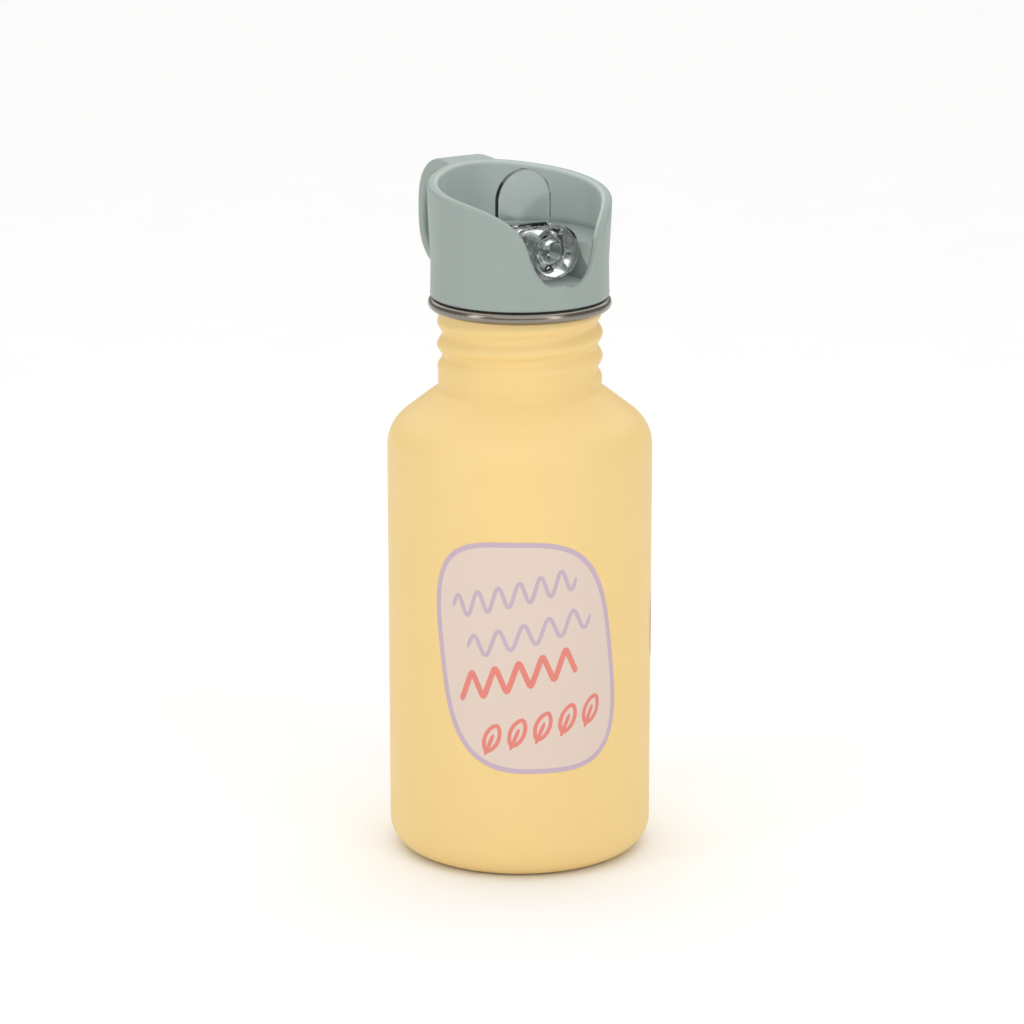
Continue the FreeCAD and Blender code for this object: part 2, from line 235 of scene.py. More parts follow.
class Shader:
    """A node material that is built one node at a time."""

    def __init__(self, name: str) -> None:
        """Starts a material with a Principled shader and its output.

        Args:
            name: The material's name.
        """
        self.material = bpy.data.materials.new(name)
        self.material.use_nodes = True
        self.tree = self.material.node_tree
        self.tree.nodes.clear()
        output = self.tree.nodes.new("ShaderNodeOutputMaterial")
        self.surface = self.tree.nodes.new("ShaderNodeBsdfPrincipled")
        self.tree.links.new(self.surface.outputs[0], output.inputs["Surface"])

    def add(self, kind: str, links: dict | None = None, **settings: object) -> bpy.types.Node:
        """Adds a node with its settings and links.

        Args:
            kind: The node's type after ShaderNode.
            links: Output socket for each named or numbered input.
            settings: Attributes of the node, or values of its inputs.

        Returns:
            The new node.
        """
        node = self.tree.nodes.new("ShaderNode" + kind)
        for name, value in settings.items():
            if hasattr(node, name):
                setattr(node, name, value)
            else:
                node.inputs[name.replace("_", " ").title()].default_value = value
        for name, socket in (links or {}).items():
            self.tree.links.new(socket, node.inputs[name])
        return node

    def set(self, **values: object) -> None:
        """Sets constant values on the Principled shader's own sockets.

        Args:
            values: The value for each socket, with _ in place of a space.
        """
        for name, value in values.items():
            self.surface.inputs[name.replace("_", " ")].default_value = value

    def link(self, name: str, socket: bpy.types.NodeSocket) -> None:
        """Links a socket into the Principled shader.

        Args:
            name: The shader's input.
            socket: The output that feeds it.
        """
        self.tree.links.new(socket, self.surface.inputs[name])

    def place(self) -> bpy.types.NodeSocket:
        """Object coordinates, in metres.

        Returns:
            The socket of the coordinates.
        """
        return self.add("TexCoord").outputs["Object"]

    def about_axis(self) -> tuple[bpy.types.NodeSocket, bpy.types.NodeSocket]:
        """Distance from the bottle's axis, and height, in metres.

        Returns:
            The sockets of the two numbers.
        """
        apart = self.add("SeparateXYZ", {0: self.place()})
        flat = self.add("CombineXYZ", {0: apart.outputs[0], 1: apart.outputs[1]})
        length = self.add("VectorMath", {0: flat.outputs[0]}, operation="LENGTH")
        return length.outputs["Value"], apart.outputs[2]

    def noise(self, period_mm: float, detail: float = 2,
              place: bpy.types.NodeSocket | None = None) -> bpy.types.NodeSocket:
        """A noise whose features are about one period wide.

        Args:
            period_mm: Size of a feature on the real surface, in millimetres.
            detail: Octaves of finer noise.
            place: Coordinates to read, or the object's own.

        Returns:
            The socket of the noise's value.
        """
        node = self.add("TexNoise", {"Vector": place or self.place()}, scale=1 / (period_mm * MM),
                        detail=detail)
        return node.outputs[0]

    def blend(self, share: bpy.types.NodeSocket, first: str | bpy.types.NodeSocket,
              second: str | bpy.types.NodeSocket) -> bpy.types.NodeSocket:
        """Mixes two colours.

        Args:
            share: How much of the second colour shows.
            first: A hex colour or a colour socket.
            second: A hex colour or a colour socket.

        Returns:
            The mixed colour's socket.
        """
        mix = self.add("Mix", {"Factor": share}, data_type="RGBA")
        colour_a, colour_b = 6, 7       # the colour inputs of a mix node come after its number inputs
        for place, colour in ((colour_a, first), (colour_b, second)):
            if isinstance(colour, str):
                mix.inputs[place].default_value = linear(colour)
            else:
                self.tree.links.new(colour, mix.inputs[place])
        return mix.outputs[2]

    def ramp(self, value: bpy.types.NodeSocket, source: tuple[float, float],
             target: tuple[float, float]) -> bpy.types.NodeSocket:
        """Maps a value from one range onto another.

        Args:
            value: The value's socket.
            source: The two ends of the value's own range.
            target: What those ends become.

        Returns:
            The mapped value's socket.
        """
        node = self.add("MapRange", {"Value": value})
        for name, number in zip(("From Min", "From Max", "To Min", "To Max"), source + target):
            node.inputs[name].default_value = number
        return node.outputs[0]

    def vary(self, pattern: bpy.types.NodeSocket, dark: str, light: str) -> None:
        """Blends the base colour between two close tones by a pattern.

        Args:
            pattern: The socket of a value from 0 to 1.
            dark: Hex colour at 0.
            light: Hex colour at 1.
        """
        self.link("Base Color", self.blend(pattern, dark, light))

    def spread(self, name: str, pattern: bpy.types.NodeSocket, ends: tuple[float, float]) -> None:
        """Maps a pattern onto a range of a shader value.

        Args:
            name: The shader's input.
            pattern: The socket of a value from 0 to 1.
            ends: The input's values at 0 and at 1.
        """
        self.link(name, self.ramp(pattern, (0.0, 1.0), ends))

    def bump(self, height: bpy.types.NodeSocket, depth_mm: float, strength: float = 1.0) -> None:
        """Lifts the surface by a pattern of a real depth.

        Args:
            height: The socket of the pattern.
            depth_mm: Height of the pattern on the real surface, in millimetres.
            strength: Share of the effect, from 0 to 1.
        """
        node = self.add("Bump", {"Height": height}, strength=strength, distance=depth_mm * MM)
        self.link("Normal", node.outputs[0])


@dataclass(frozen=True)
class PowderCoat:
    """Polyester powder baked on steel: matte, with the faint orange peel that cured powder keeps."""

    name: str = "powder_coated_steel"
    dark: str = "#F0CF89"
    light: str = "#F3D48F"
    roughness: tuple[float, float] = (0.42, 0.54)
    cloud_mm: float = 14.0
    peel_mm: float = 0.9
    peel_depth_mm: float = 0.010

    def material(self) -> bpy.types.Material:
        """Builds the material.

        Returns:
            The material.
        """
        shader = Shader(self.name)
        shader.vary(shader.noise(self.cloud_mm), self.dark, self.light)
        peel = shader.noise(self.peel_mm, detail=3)
        shader.spread("Roughness", peel, self.roughness)
        shader.bump(peel, self.peel_depth_mm, strength=0.6)
        shader.set(IOR=1.5)
        return shader.material


@dataclass(frozen=True)
class DrawnSteel:
    """Stainless steel turned against an abrasive: fine rings round the axis and soft streaked gloss."""

    name: str = "drawn_stainless_steel"
    dark: str = "#7D776E"
    light: str = "#9A938A"
    roughness: tuple[float, float] = (0.16, 0.28)
    ring_mm: float = 0.12
    scratch_depth_mm: float = 0.004

    def material(self) -> bpy.types.Material:
        """Builds the material.

        Returns:
            The material.
        """
        shader = Shader(self.name)
        radius, height = shader.about_axis()
        rings = shader.add("CombineXYZ", {0: radius, 2: height})
        scratch = shader.noise(self.ring_mm, detail=4, place=rings.outputs[0])
        shader.vary(scratch, self.dark, self.light)
        shader.spread("Roughness", scratch, self.roughness)
        shader.bump(scratch, self.scratch_depth_mm, strength=0.5)
        shader.set(Metallic=1.0)
        return shader.material


@dataclass(frozen=True)
class MouldedPolypropylene:
    """Injection-moulded PP from a fine spark-eroded mould: satin, a little soft light inside, and painted
    light that makes the cup's inner wall paler.
    """

    name: str = "moulded_polypropylene"
    dark: str = "#95A29C"
    light: str = "#9DA9A3"
    # painted light: a paler tone for the cup's inner wall, standing for light that the inner wall doesn't
    # get
    inside: str = "#BAC6C1"
    roughness: tuple[float, float] = (0.40, 0.50)
    wall_mm: tuple[float, float] = (22.4, 21.8)
    deck_mm: tuple[float, float] = (166.4, 167.9)
    flow_mm: float = 9.0
    flow_stretch: tuple[float, float, float] = (1, 1, 0.35)
    grain_mm: float = 0.35
    grain_depth_mm: float = 0.006

    def painted_light_inner_wall(self, shader: Shader) -> bpy.types.NodeSocket:
        """Finds the cup's inner wall, where painted light makes the tone paler than the outside.

        Args:
            shader: The shader that gets the nodes.

        Returns:
            The socket of a value that is 1 on the inner wall and 0 elsewhere.
        """
        radius, height = shader.about_axis()
        within = shader.ramp(radius, (self.wall_mm[0] * MM, self.wall_mm[1] * MM), (0, 1))
        above = shader.ramp(height, (self.deck_mm[0] * MM, self.deck_mm[1] * MM), (0, 1))
        return shader.add("Math", {0: within, 1: above}, operation="MULTIPLY").outputs[0]

    def material(self) -> bpy.types.Material:
        """Builds the material.

        Returns:
            The material.
        """
        shader = Shader(self.name)
        stretch = shader.add("Mapping", {"Vector": shader.place()})
        stretch.inputs["Scale"].default_value = self.flow_stretch
        flow = shader.noise(self.flow_mm, place=stretch.outputs[0])
        outside = shader.blend(flow, self.dark, self.light)
        # painted light on the cup's inner wall: the base colour is blended toward the paler inside tone
        shader.link("Base Color", shader.blend(self.painted_light_inner_wall(shader), outside, self.inside))
        grain = shader.noise(self.grain_mm, detail=3)
        shader.spread("Roughness", grain, self.roughness)
        shader.bump(grain, self.grain_depth_mm, strength=0.5)
        shader.set(IOR=1.49, Subsurface_Weight=0.15, Subsurface_Scale=0.002)
        return shader.material


@dataclass(frozen=True)
class Silicone:
    """Cast silicone rubber: milky, soft and slightly dusty."""

    name: str = "cast_silicone"
    dark: str = "#D5D6D2"
    light: str = "#E4E4E0"
    roughness: tuple[float, float] = (0.55, 0.7)
    cloud_mm: float = 3.0
    grain_mm: float = 0.3
    grain_depth_mm: float = 0.004

    def material(self) -> bpy.types.Material:
        """Builds the material.

        Returns:
            The material.
        """
        shader = Shader(self.name)
        shader.vary(shader.noise(self.cloud_mm, detail=3), self.dark, self.light)
        grain = shader.noise(self.grain_mm)
        shader.spread("Roughness", grain, self.roughness)
        shader.bump(grain, self.grain_depth_mm)
        shader.set(IOR=1.41, Subsurface_Weight=0.2, Subsurface_Scale=0.002)
        return shader.material


@dataclass(frozen=True)
class ClearCopolyester:
    """Injection-moulded clear copolyester: water clear and glossy, with faint flow waves."""

    name: str = "clear_copolyester"
    dark: str = "#F6FAF9"
    light: str = "#FFFFFF"
    roughness: tuple[float, float] = (0.01, 0.05)
    wave_mm: float = 5.0
    wave_depth_mm: float = 0.03

    def material(self) -> bpy.types.Material:
        """Builds the material.

        Returns:
            The material.
        """
        shader = Shader(self.name)
        wave = shader.noise(self.wave_mm)
        shader.vary(wave, self.dark, self.light)
        shader.spread("Roughness", wave, self.roughness)
        shader.bump(wave, self.wave_depth_mm, strength=0.4)
        shader.set(IOR=1.55, Transmission_Weight=1.0)
        return shader.material


@dataclass(frozen=True)
class ScreenInk:
    """Screen-printed ink: a thin, slightly chalky film with the mesh's faint mottle."""

    name: str
    dark: str
    light: str
    roughness: tuple[float, float] = (0.5, 0.62)
    mottle_mm: float = 0.5
    mottle_depth_mm: float = 0.004

    def material(self) -> bpy.types.Material:
        """Builds the material.

        Returns:
            The material.
        """
        shader = Shader(self.name)
        mottle = shader.noise(self.mottle_mm, detail=4)
        shader.vary(mottle, self.dark, self.light)
        shader.spread("Roughness", mottle, self.roughness)
        shader.bump(mottle, self.mottle_depth_mm, strength=0.5)
        return shader.material


@dataclass(frozen=True)
class StudioPaper:
    """White paper from a roll, with the faint cloudiness of pressed pulp."""

    name: str = "studio_paper"
    dark: str = "#F8F8F7"
    light: str = "#FBFBFA"
    cloud_mm: float = 40.0

    def material(self) -> bpy.types.Material:
        """Builds the material.

        Returns:
            The material.
        """
        shader = Shader(self.name)
        shader.vary(shader.noise(self.cloud_mm), self.dark, self.light)
        shader.set(Roughness=0.9)
        return shader.material


class Ink(Enum):
    """The colours of the print."""

    BEIGE = ScreenInk("ink_beige", "#DDC9BB", "#E4D1C3")
    LILAC = ScreenInk("ink_lilac", "#C3AABB", "#CBB3C2")
    CORAL = ScreenInk("ink_coral", "#E07E72", "#E88A7D")

    def made(self) -> bpy.types.Material:
        """Gives the ink's material, and builds it only once.

        Returns:
            The material.
        """
        return bpy.data.materials.get(self.value.name) or self.value.material()


def dress(node: str, *materials: bpy.types.Material) -> None:
    """Gives a CAD node's object its materials.

    Args:
        node: The node's name.
        materials: The materials, in the order of their slots.
    """
    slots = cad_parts[node].data.materials
    slots.clear()
    for material in materials:
        slots.append(material)
    LOG.info("%s: dressed in %s", node, ", ".join(material.name for material in materials))


# --- bottle ------------------------------------------------------------------------------------


@dataclass
class Bottle:
    """Drawn steel bottle: body, shoulder and neck with the thread rolled into the sheet."""

    body_r: float = 35.0
    sheet: float = 0.6
    join_z: float = 8.2
    shoulder_z: float = 115.4
    shoulder_r: float = 10.7
    belt_z: tuple[float, float] = (30.0, 70.0)
    neck_r: float = 21.5
    neck_foot_z: float = 125.9
    neck_foot_r: float = 1.8
    neck_top_z: float = 146.6
    ring_step: float = 0.35
    steps: int = 216
    arc_steps: int = 180
    pitch: float = 6.1
    thread_z: float = 131.3
    thread_deg: float = -30.3
    thread_turns: float = 2.0
    fade_turns: float = 0.12
    groove: float = 1.1
    crest: float = 0.3
    rolled_from: float = 1.0
    plain_top: float = 0.05

    def outline(self) -> Outline:
        """Draws the outside of the sheet from the base weld to the lip.

        Returns:
            The outline, with fine rows where the thread is rolled.
        """
        rows = rounded([(self.body_r, self.join_z, 0), (self.body_r, self.belt_z[0], 0),
                        (self.body_r, self.belt_z[1], 0), (self.body_r, self.shoulder_z, self.shoulder_r),
                        (self.neck_r, self.neck_foot_z, self.neck_foot_r),
                        (self.neck_r, self.neck_foot_z + 2 * self.rolled_from, 0),
                        (self.neck_r, self.neck_top_z, 0)], per_turn=self.arc_steps)
        top = rows.pop()
        start = rows[-1][1]
        count = round((top[1] - start) / self.ring_step)
        return rows + [(self.neck_r, start + (top[1] - start) * i / count) for i in range(1, count + 1)]

    def thread_offset(self, angle: float, z: float) -> float:
        """How far the rolled thread moves the neck's wall outwards.

        Args:
            angle: Angle about the axis, in radians from +X.
            z: Height in millimetres.

        Returns:
            The offset in millimetres, negative in the groove.
        """
        share = (math.degrees(angle) - self.thread_deg) % 360 / 360
        laps = (z - self.thread_z) / self.pitch - share
        below = math.floor(laps)
        across = laps - below
        blend = across ** 2 * (3 - 2 * across)
        lower, upper = self.depth_share(share + below), self.depth_share(share + below + 1)
        weight = lower * (1 - blend) + upper * blend
        middle = (self.crest - self.groove) / 2
        return weight * (middle - (self.crest + self.groove) / 2 * math.cos(FULL_TURN * across))

    def depth_share(self, turns: float) -> float:
        """Works out how deep the roller is, which fades at both ends of the thread.

        Args:
            turns: Turns since the thread's start.

        Returns:
            Share of the full depth.
        """
        past = max(-turns, turns - self.thread_turns, 0) / self.fade_turns
        return max(0.0, 1 - past) ** 2 * (1 + 2 * min(past, 1))

    def rolled(self, co: Vector) -> Vector:
        """Moves a vertex of the plain neck as the thread is rolled in.

        Args:
            co: The vertex's place.

        Returns:
            Its new place.
        """
        if co.z < self.neck_foot_z + self.rolled_from or co.z > self.neck_top_z - self.plain_top:
            return co
        radius = math.hypot(co.x, co.y)
        share = 1 + self.thread_offset(math.atan2(co.y, co.x), co.z) / radius
        return Vector((co.x * share, co.y * share, co.z))

    def build(self, coat: bpy.types.Material, steel: bpy.types.Material) -> bpy.types.Object:
        """Models the sheet, coated outside and bare inside.

        Args:
            coat: Finish of the outside.
            steel: Finish of the inside.

        Returns:
            The finished piece.
        """
        piece = spun(self.outline(), self.steps)
        reshape(piece, self.rolled)
        piece.data.materials.append(coat)
        piece.data.materials.append(steel)
        apply_modifier(piece, "SOLIDIFY", thickness=self.sheet, offset=-1.0, material_offset=1,
                       use_even_offset=True)
        finish_piece(piece, "coated_bottle_shell", "bottle")
        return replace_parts(piece, "bottle_shell")


# --- print -------------------------------------------------------------------------------------


@dataclass
class Print:
    """A rounded label printed on the cylinder, with plain line patterns on it."""

    body_r: float = 35.0
    film: float = 0.03
    lift: float = 0.02
    column: float = 1.0
    rim_points: int = 180
    squareness: float = 0.62
    press: float = 1.2
    stroke_ends: tuple[float, float, float] = (0.35, 0.8, 1.0)

    def wrap(self, piece: bpy.types.Object, centre_deg: float, centre_z: float) -> None:
        """Lays a flat piece, drawn in X and Y with its height in Z, on the cylinder.

        Args:
            piece: The flat piece.
            centre_deg: Angle of its centre from -Y, in degrees.
            centre_z: Height of its centre.
        """

        def laid(co: Vector) -> Vector:
            """Gives a point's place on the cylinder."""
            angle = math.radians(centre_deg) + co.x / self.body_r
            radius = self.body_r + co.z
            return Vector((radius * math.sin(angle), -radius * math.cos(angle), centre_z + co.y))

        reshape(piece, laid)

    def patch(self, name: str, half: tuple[float, float], lean: float, edge: float, fill: Ink,
              place: tuple[float, float]) -> bpy.types.Object:
        """A leaning rounded patch of ink with an edge line of another colour.

        Args:
            name: The piece's name.
            half: Half width and half height in millimetres.
            lean: Sideways shift per millimetre of height.
            edge: Width of the edge line.
            fill: Ink of the middle.
            place: Angle of the centre from -Y, in degrees, and its height.

        Returns:
            The finished piece.
        """
        deselect()
        bpy.ops.mesh.primitive_circle_add(vertices=self.rim_points, radius=1, fill_type="NGON")
        piece = bpy.context.object

        def pebble(co: Vector) -> Vector:
            """Swells a round rim toward a rectangle, and leans it."""
            x = half[0] * math.copysign(abs(co.x) ** self.squareness, co.x)
            y = half[1] * math.copysign(abs(co.y) ** self.squareness, co.y)
            return Vector((x + lean * y, y, 0))

        reshape(piece, pebble)
        piece.data.materials.append(fill.made())
        piece.data.materials.append(Ink.LILAC.made())
        edit(piece)
        bpy.ops.mesh.inset(thickness=edge, depth=0)
        bpy.ops.object.mode_set(mode="OBJECT")
        for face in piece.data.polygons:
            in_edge_line = len(face.vertices) == 4
            face.material_index = 1 if in_edge_line else 0
        reach = half[0] + abs(lean) * half[1]
        for i in range(1, math.ceil(2 * reach / self.column)):
            edit(piece)
            bpy.ops.mesh.bisect(plane_co=(i * self.column - reach, 0, 0), plane_no=(1, 0, 0))
        bpy.ops.object.mode_set(mode="OBJECT")
        reshape(piece, lambda co: Vector((co.x, co.y, self.lift)))
        apply_modifier(piece, "SOLIDIFY", thickness=self.film, offset=1.0)
        self.wrap(piece, *place)
        return finish_piece(piece, name, "bottle")

    def strokes(self, name: str, routes: list[Outline], width: float, ink: Ink,
                place: tuple[float, float]) -> bpy.types.Object:
        """Round-ended pen strokes, pressed flat into a film.

        Args:
            name: The piece's name.
            routes: The points that each stroke follows, in millimetres on the label.
            width: The pen's width.
            ink: The strokes' ink.
            place: Angle of the label's centre from -Y, in degrees, and its height.

        Returns:
            The finished piece.
        """
        deselect()
        bpy.ops.curve.primitive_nurbs_path_add()
        pen = bpy.context.object
        pen.data.splines.clear()
        pen.data.dimensions = "3D"
        pen.data.bevel_depth = width / 2
        pen.data.bevel_resolution = 3
        pen.data.use_fill_caps = True
        for route in routes:
            spline = pen.data.splines.new("POLY")
            spline.points.add(len(route) - 1)
            for i, (point, (x, y)) in enumerate(zip(spline.points, route)):
                point.co = (x, y, 0, 1)
                from_end = 2 if route[0] == route[-1] else min(i, len(route) - 1 - i, 2)
                point.radius = self.stroke_ends[from_end]
        bpy.ops.object.convert(target="MESH")
        piece = bpy.context.object
        piece.data.materials.append(ink.made())
        flatten = self.press * self.film / width
        height = self.lift + 1.5 * self.film
        reshape(piece, lambda co: Vector((co.x, co.y, height + co.z * flatten)))
        self.wrap(piece, *place)
        return finish_piece(piece, name, "bottle", smooth_deg=60)


@dataclass
class Label:
    """The front label: a leaning patch with waves, peaks and leaves on it."""

    printer: Print = field(default_factory=Print)
    place: tuple[float, float] = (-29.8, 61.2)
    half: tuple[float, float] = (24.2, 31.3)
    lean: float = -0.12
    edge: float = 1.35
    slope: float = 0.25
    thin_pen: float = 1.05
    bold_pen: float = 1.5
    wave_middles: tuple[tuple[float, float], ...] = ((-3.6, 17.2), (0.5, 6.6))
    wave_periods: tuple[float, ...] = (5.5, 6.6)
    wave_length: float = 33.0
    wave_height: float = 2.9
    peak_middle: tuple[float, float] = (-2.4, -4.6)
    peak_length: float = 31.0
    peak_height: float = 2.7
    peak_period: float = 6.2
    peak_sharpness: float = 0.96
    leaf_middle: tuple[float, float] = (3.9, -18.4)
    leaf_count: int = 5
    leaf_size: tuple[float, float] = (7.6, 1.8)
    leaf_apart: float = 6.7
    leaf_tilt_deg: float = 68.0
    leaf_steps: int = 16
    leaf_pointedness: float = 1.3
    side_place: tuple[float, float] = (61.3, 60.8)
    side_half: tuple[float, float] = (8.4, 8.9)
    side_edge: float = 0.8

    def row(self, middle: tuple[float, float], length: float, shape: Callable[[float], float],
            step: float) -> Outline:
        """One stroke that climbs to the right at the label's slope.

        Args:
            middle: Centre of the row on the label.
            length: Length of the row.
            shape: Height of the line at a distance from the row's start.
            step: Distance between points.

        Returns:
            The stroke's points.
        """
        count = round(length / step)
        along = [length * i / count for i in range(count + 1)]
        left, low = middle[0] - length / 2, middle[1] - self.slope * length / 2
        return [(left + d, low + self.slope * d + shape(d)) for d in along]

    def waves(self) -> list[Outline]:
        """Draws rows of soft waves.

        Returns:
            One stroke for each row.
        """

        def wave(period: float) -> Callable[[float], float]:
            """Gives the shape of a wave of one period."""
            return lambda along: self.wave_height * math.sin(along * FULL_TURN / period)

        return [self.row(middle, self.wave_length, wave(period), step=0.25)
                for middle, period in zip(self.wave_middles, self.wave_periods)]

    def peaks(self) -> list[Outline]:
        """Draws a row of even peaks with softened tips.

        Returns:
            The row's stroke.
        """

        def peak(along: float) -> float:
            """Gives the height of the line at a distance from its start."""
            phase = (along / self.peak_period - 0.25) * FULL_TURN
            return self.peak_height * math.asin(self.peak_sharpness * math.sin(phase))

        return [self.row(self.peak_middle, self.peak_length, peak, step=0.2)]

    def leaf(self) -> list[Outline]:
        """Draws one leaf that lies along X about its own middle.

        Returns:
            The strokes of its edge and its vein.
        """
        long, wide = self.leaf_size
        turns = [math.pi * i / self.leaf_steps for i in range(self.leaf_steps + 1)]
        edge = [(-math.cos(turn) * long / 2, abs(math.sin(turn)) ** self.leaf_pointedness * wide)
                for turn in turns]
        edge += [(x, -y) for x, y in edge[-2::-1]]
        vein = [(x * long / 12, 0) for x in range(-8, 3)]
        return [edge, vein]

    def leaves(self) -> list[Outline]:
        """Draws a row of leaves that stand side by side.

        Returns:
            The strokes of every leaf.
        """
        tilt = math.radians(self.leaf_tilt_deg)
        c, s = math.cos(tilt), math.sin(tilt)
        routes = []
        for i in range(self.leaf_count):
            shift = self.leaf_apart * (i - (self.leaf_count - 1) / 2)
            x, y = self.leaf_middle[0] + shift, self.leaf_middle[1] + self.slope * shift
            routes += [[(x + d * c - w * s, y + d * s + w * c) for d, w in line] for line in self.leaf()]
        return routes

    def build(self) -> None:
        """Prints the label and the patch beside it."""
        self.printer.patch("print_label", self.half, self.lean, self.edge, Ink.BEIGE, self.place)
        self.printer.strokes("print_waves", self.waves(), self.thin_pen, Ink.LILAC, self.place)
        self.printer.strokes("print_peaks", self.peaks(), self.bold_pen, Ink.CORAL, self.place)
        self.printer.strokes("print_leaves", self.leaves(), self.thin_pen, Ink.CORAL, self.place)
        self.printer.patch("print_side_patch", self.side_half, 0.0, self.side_edge, Ink.CORAL,
                           self.side_place)


# --- mouthpiece --------------------------------------------------------------------------------


@dataclass
class Mouthpiece:
    """One clear moulding: hub and trunnions, flared spout, and thumb tab."""

    pivot_z: float = 164.5
    hub_r: float = 4.5
    hub_half: float = 7.6
    trunnion_r: float = 2.2
    trunnion_end: float = 9.4
    waist_r: float = 4.4
    spout_r: float = 7.2
    flare_from: float = 7.0
    flare_from_r: float = 12.0
    flare_to: float = 18.5
    flare_to_r: float = 8.0
    spout_length: float = 23.1
    tip_edge: float = 4.0
    port_r: float = 2.2
    port_depth: float = 8.0
    port_end: float = 5.0
    bore_r: float = 2.3
    bore_from: float = 8.0
    bore_stop: float = 4.4
    eye_hole_from: float = 3.2
    eye_hole_to: float = 1.8
    eye_hole_r: float = 1.3
    eye_r: float = 2.6
    eye_open_r: float = 2.9
    overlap: float = 0.5
    tab_y: float = -1.6
    tab_t: float = 1.8
    tab_half: float = 8.3
    foot_half: float = 7.6
    tab_wide_z: float = 168.4
    tab_top_z: float = 183.9
    voxel: float = 0.16
    polish: int = 14

    def rod(self, radius: float, half: float, place: tuple[float, float, float],
            axis: str) -> bpy.types.Object:
        """A cylinder along X or Y.

        Args:
            radius: Its radius.
            half: Half of its length.
            place: Its middle.
            axis: X or Y.

        Returns:
            The cylinder.
        """
        deselect()
        turn = (0, math.pi / 2, 0) if axis == "X" else (math.pi / 2, 0, 0)
        bpy.ops.mesh.primitive_cylinder_add(vertices=ROUND_STEPS, radius=radius, depth=2 * half,
                                            location=place, rotation=turn)
        return bpy.context.object

    def slab(self, half: float, low_z: float, high_z: float) -> bpy.types.Object:
        """Makes a straight part of the tab.

        Args:
            half: Half of its width.
            low_z: Height of its foot.
            high_z: Height of its top.

        Returns:
            The slab.
        """
        deselect()
        bpy.ops.mesh.primitive_cube_add(size=1, location=(0, self.tab_y, (low_z + high_z) / 2),
                                        scale=(2 * half, self.tab_t, high_z - low_z))
        return bpy.context.object

    def forward(self, outline: Outline) -> bpy.types.Object:
        """Spins a round solid and lays it along -Y from the pivot.

        Args:
            outline: Radius and distance from the pivot of each point.

        Returns:
            The solid.
        """
        piece = spun(outline, ROUND_STEPS)
        reshape(piece, lambda co: Vector((co.x, -co.z, self.pivot_z + co.y)))
        return piece

    def solids(self) -> list[bpy.types.Object]:
        """Makes the overlapping solids that the moulding is merged from.

        Returns:
            The spout, hub, trunnions and three parts of the tab.
        """
        length = self.spout_length
        arch_z = self.tab_top_z - self.tab_half
        spout = rounded([(0, 0, 0), (self.waist_r, 0, 0), (self.waist_r, self.flare_from, self.flare_from_r),
                         (self.spout_r, self.flare_to, self.flare_to_r),
                         (self.spout_r, length, self.tip_edge), (0, length, 0)], per_turn=ROUND_STEPS)
        return [self.forward(spout),
                self.rod(self.hub_r, self.hub_half, (0, 0, self.pivot_z), "X"),
                self.rod(self.trunnion_r, self.trunnion_end, (0, 0, self.pivot_z), "X"),
                self.rod(self.tab_half, self.tab_t / 2, (0, self.tab_y, arch_z), "Y"),
                self.slab(self.tab_half, self.tab_wide_z, arch_z),
                self.slab(self.foot_half, self.pivot_z, self.tab_wide_z + self.overlap)]

    def bore(self) -> bpy.types.Object:
        """Makes the hollow that runs from the back of the hub to the dished eye.

        Returns:
            The solid to cut away.
        """
        length = self.spout_length
        past_tip = length + 1
        points = [(0, -self.port_depth, 0), (self.port_r, -self.port_depth, 0),
                  (self.port_r, self.port_end, 0), (self.bore_r, self.bore_from, 0),
                  (self.bore_r, length - self.bore_stop, 0.9),
                  (self.eye_hole_r, length - self.eye_hole_from, 0.5),
                  (self.eye_hole_r, length - self.eye_hole_to, 0.6), (self.eye_r, length - 0.1, 0.4),
                  (self.eye_open_r, past_tip, 0), (0, past_tip, 0)]
        return self.forward(rounded(points, per_turn=ROUND_STEPS))

    def build(self, clear: bpy.types.Material) -> bpy.types.Object:
        """Models the mouthpiece in one skin and bores it.

        Args:
            clear: Finish of the moulding.

        Returns:
            The finished piece.
        """
        piece = join(self.solids())
        bpy.ops.object.transform_apply(location=True, rotation=True, scale=True)
        apply_modifier(piece, "REMESH", mode="VOXEL", voxel_size=self.voxel)
        apply_modifier(piece, "SMOOTH", factor=0.5, iterations=self.polish)
        bore = self.bore()
        apply_modifier(piece, "BOOLEAN", operation="DIFFERENCE", object=bore, solver="EXACT")
        bpy.data.objects.remove(bore)
        piece.data.materials.clear()
        piece.data.materials.append(clear)
        finish_piece(piece, "clear_mouthpiece", "mouthpiece", smooth_deg=50)
        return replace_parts(piece, "mouthpiece")


# --- studio ------------------------------------------------------------------------------------


@dataclass(frozen=True)
class Softbox:
    """A rectangular lamp behind diffusing cloth.

    Attributes:
        name: The light's name.
        azimuth: Angle from the camera's side, in degrees.
        elevation: Angle above the horizon, in degrees.
        size: Width and height in metres.
        distance: Distance from the bottle in millimetres.
        watts: Power.
    """

    name: str
    azimuth: float
    elevation: float
    size: tuple[float, float]
    distance: float
    watts: float


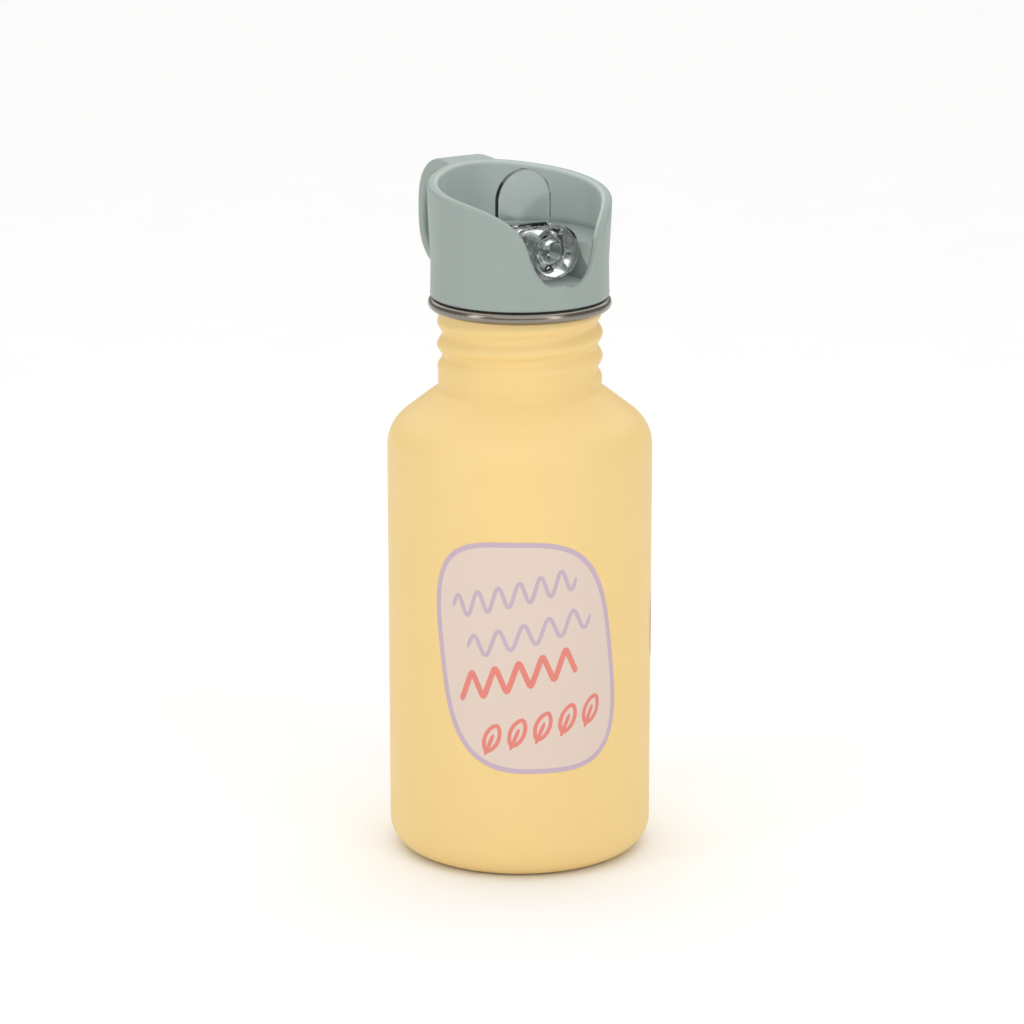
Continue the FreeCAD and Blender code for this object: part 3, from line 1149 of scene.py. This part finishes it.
@dataclass
class Studio:
    """Pale floor, softboxes and the camera."""

    azimuth: float = -33.3
    elevation: float = 14.885
    distance: float = 1049.7
    target_z: float = 91.41
    lens: float = 138.96
    sensor: float = 36.0
    shift_x: float = -0.0076
    sky: float = 0.33
    floor_m: float = 12.0
    boxes: tuple[Softbox, ...] = (
        Softbox("left_box", -58, 18, (0.35, 1.2), 1300, 3.2),
        Softbox("right_box", 45, 18, (0.35, 1.2), 1300, 3.2),
        Softbox("key_box", 0, 42, (2.2, 1.4), 1800, 9.5),
        Softbox("top_box", 180, 64, (7.0, 7.0), 3400, 165),
    )

    def around(self, azimuth: float, elevation: float, distance: float) -> Vector:
        """A point seen from the target, in metres.

        Args:
            azimuth: Angle from the camera's side, in degrees.
            elevation: Angle above the horizon, in degrees.
            distance: Distance in millimetres.

        Returns:
            The point in the row frame.
        """
        a, e = math.radians(self.azimuth + azimuth), math.radians(elevation)
        back = Vector((math.sin(a) * math.cos(e), -math.cos(a) * math.cos(e), math.sin(e)))
        return (Vector((0, 0, self.target_z)) + back * distance) * MM

    def aim(self, name: str, data: bpy.types.ID, place: Vector) -> bpy.types.Object:
        """Puts a light or a camera in the scene, facing the bottle.

        Args:
            name: The object's name.
            data: The light or the camera.
            place: Where it stands, in metres.

        Returns:
            The new object.
        """
        thing = bpy.data.objects.new(name, data)
        thing.location = place
        toward = Vector((0, 0, self.target_z * MM)) - place
        thing.rotation_euler = toward.to_track_quat("-Z", "Y").to_euler()
        bpy.context.scene.collection.objects.link(thing)
        return thing

    def hang(self, box: Softbox) -> None:
        """Hangs a softbox that faces the bottle.

        Args:
            box: The softbox.
        """
        light = bpy.data.lights.new(box.name, "AREA")
        light.shape = "RECTANGLE"
        light.size, light.size_y = box.size
        light.energy = box.watts
        self.aim(box.name, light, self.around(box.azimuth, box.elevation, box.distance))

    def camera(self) -> None:
        """Sets the camera a little above the bottle, looking slightly down at it."""
        data = bpy.data.cameras.new("camera")
        data.lens = self.lens
        data.sensor_width = self.sensor
        data.shift_x = self.shift_x
        place = self.around(0, self.elevation, self.distance)
        bpy.context.scene.camera = self.aim("camera", data, place)

    def floor(self) -> None:
        """Lays the paper that the bottle stands on."""
        deselect()
        bpy.ops.mesh.primitive_plane_add(size=self.floor_m)
        floor = bpy.context.object
        floor.name = "floor"
        floor.data.materials.append(StudioPaper().material())

    def build(self) -> None:
        """Sets up the studio."""
        world = bpy.data.worlds.new("studio")
        world.use_nodes = True
        sky = world.node_tree.nodes["Background"]
        sky.inputs["Color"].default_value = (1, 1, 1, 1)
        sky.inputs["Strength"].default_value = self.sky
        bpy.context.scene.world = world
        bpy.context.scene.view_settings.view_transform = "Standard"
        self.floor()
        for box in self.boxes:
            self.hang(box)
        self.camera()


def main() -> None:
    """Builds the bottle's looks and reports each piece."""
    logging.basicConfig(level=logging.INFO, format="%(name)s: %(message)s")
    coat, steel = PowderCoat().material(), DrawnSteel().material()
    plastic, silicone = MouldedPolypropylene().material(), Silicone().material()
    clear = ClearCopolyester().material()
    Bottle().build(coat, steel)
    Label().build()
    Mouthpiece().build(clear)
    dress("base_cup", coat)
    dress("lip_ring", steel)
    for node in ("lid_shell", "threaded_plug"):
        dress(node, plastic)
    for node in ("lid_gasket", "seat_seal", "vent_valve", "straw_sleeve"):
        dress(node, silicone)
    dress("straw", clear)
    Studio().build()


if __name__ == "__main__":
    main()
